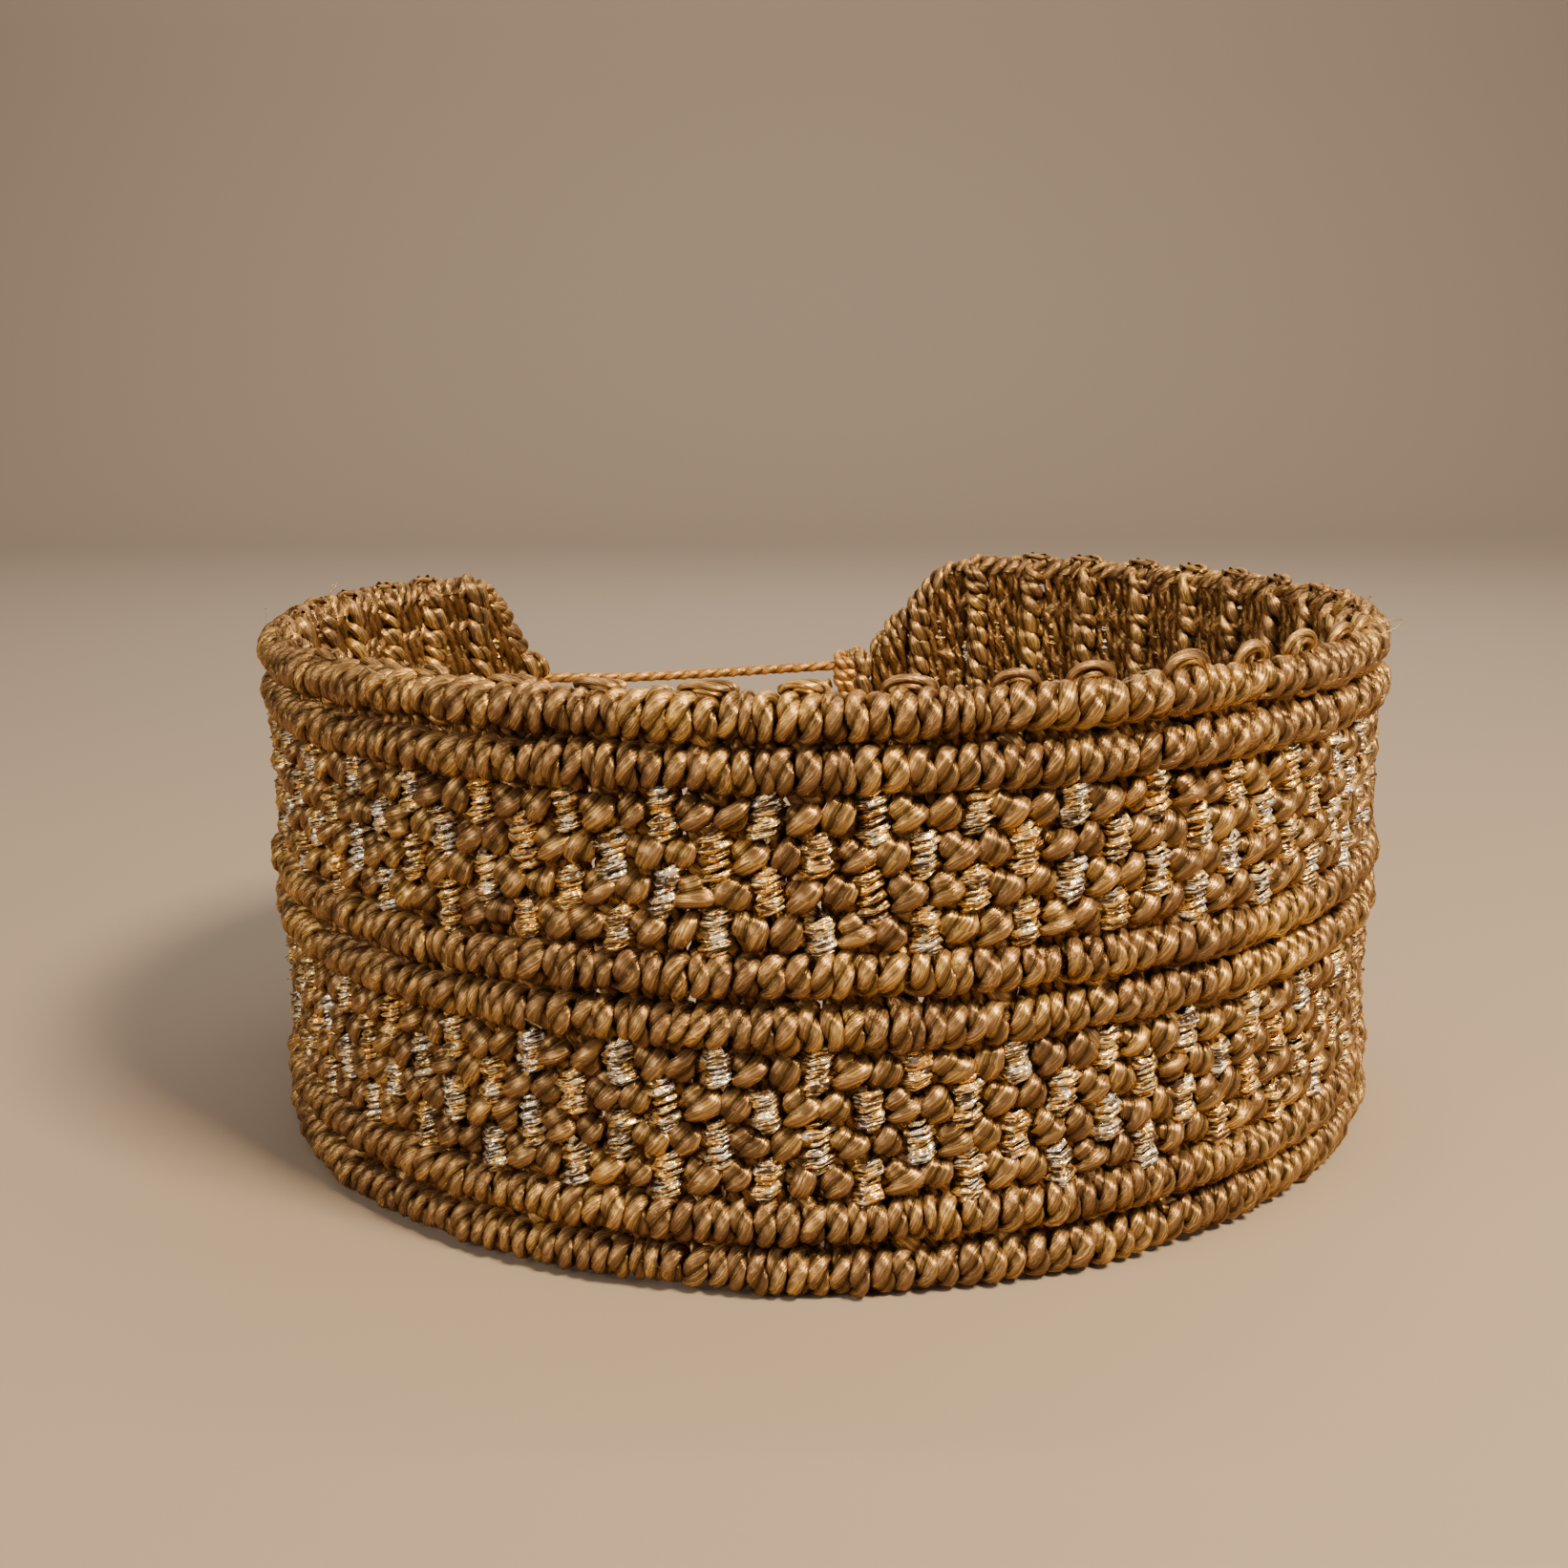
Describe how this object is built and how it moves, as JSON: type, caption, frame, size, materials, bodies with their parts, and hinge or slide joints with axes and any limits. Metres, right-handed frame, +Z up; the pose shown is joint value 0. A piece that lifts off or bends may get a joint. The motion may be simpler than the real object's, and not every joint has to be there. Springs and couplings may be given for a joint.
{
  "type": "knotted cuff bracelet",
  "caption": "Open cuff bracelet knotted from cord, with wrapped ribs, two bands of knots with metallic thread, and tie strands with sliding knots across its gap.",
  "frame": {"origin": "centre of the band's lower edge in plan, on the surface that the cuff stands on", "axes": "+Z up along the cuff's axis, +Y from the axis out through the middle of the gap, X across the gap"},
  "size_m": [0.0626, 0.0615, 0.0272],
  "materials": {
    "brown_cord": "silky twisted cord with a soft sheen",
    "dark_core_cord": "matt cord hidden under wraps",
    "metallic_thread": "foil-wrapped thread, gold with silver and copper glints",
    "tie_cord": "two-ply twisted cord, satin"
  },
  "bodies": {
    "root": {"rib_1_wraps": "brown_cord", "rib_1_core": "dark_core_cord", "rib_2_wraps": "brown_cord", "rib_2_core": "dark_core_cord", "rib_3_wraps": "brown_cord", "rib_3_core": "dark_core_cord", "rib_4_wraps": "brown_cord", "rib_4_core": "dark_core_cord", "rib_5_wraps": "brown_cord", "rib_5_core": "dark_core_cord", "rib_6_wraps": "brown_cord", "rib_6_core": "dark_core_cord", "upper_row_1_knots": "brown_cord", "upper_row_1_metallic_thread": "metallic_thread", "upper_row_2_knots": "brown_cord", "upper_row_2_metallic_thread": "metallic_thread", "upper_row_3_knots": "brown_cord", "upper_row_3_metallic_thread": "metallic_thread", "upper_row_4_knots": "brown_cord", "upper_row_4_metallic_thread": "metallic_thread", "lower_row_1_knots": "brown_cord", "lower_row_1_metallic_thread": "metallic_thread", "lower_row_2_knots": "brown_cord", "lower_row_2_metallic_thread": "metallic_thread", "lower_row_3_knots": "brown_cord", "lower_row_3_metallic_thread": "metallic_thread", "lower_row_4_knots": "brown_cord", "lower_row_4_metallic_thread": "metallic_thread", "right_end_binding": "brown_cord", "left_end_binding": "brown_cord", "upper_taut_strand": "tie_cord", "upper_taut_stopper_knot": "tie_cord", "upper_slack_strand": "tie_cord", "upper_slack_stopper_knot": "tie_cord", "lower_taut_strand": "tie_cord", "lower_taut_stopper_knot": "tie_cord", "lower_slack_strand": "tie_cord", "lower_slack_stopper_knot": "tie_cord", "upper_eyelet": "brown_cord", "lower_eyelet": "brown_cord"},
    "upper_slider": {"upper_sliding_knot": "tie_cord"},
    "lower_slider": {"lower_sliding_knot": "tie_cord"}
  },
  "joints": [
    {"name": "upper_knot_slide", "type": "hinge", "parent": "root", "child": "upper_slider", "pos_m": [0, -0.0002, 0.0195], "axis": [0, 0, 1], "range_deg": [0, 14]},
    {"name": "lower_knot_slide", "type": "hinge", "parent": "root", "child": "lower_slider", "pos_m": [0, -0.0002, 0.0078], "axis": [0, 0, 1], "range_deg": [0, 14]}
  ]
}
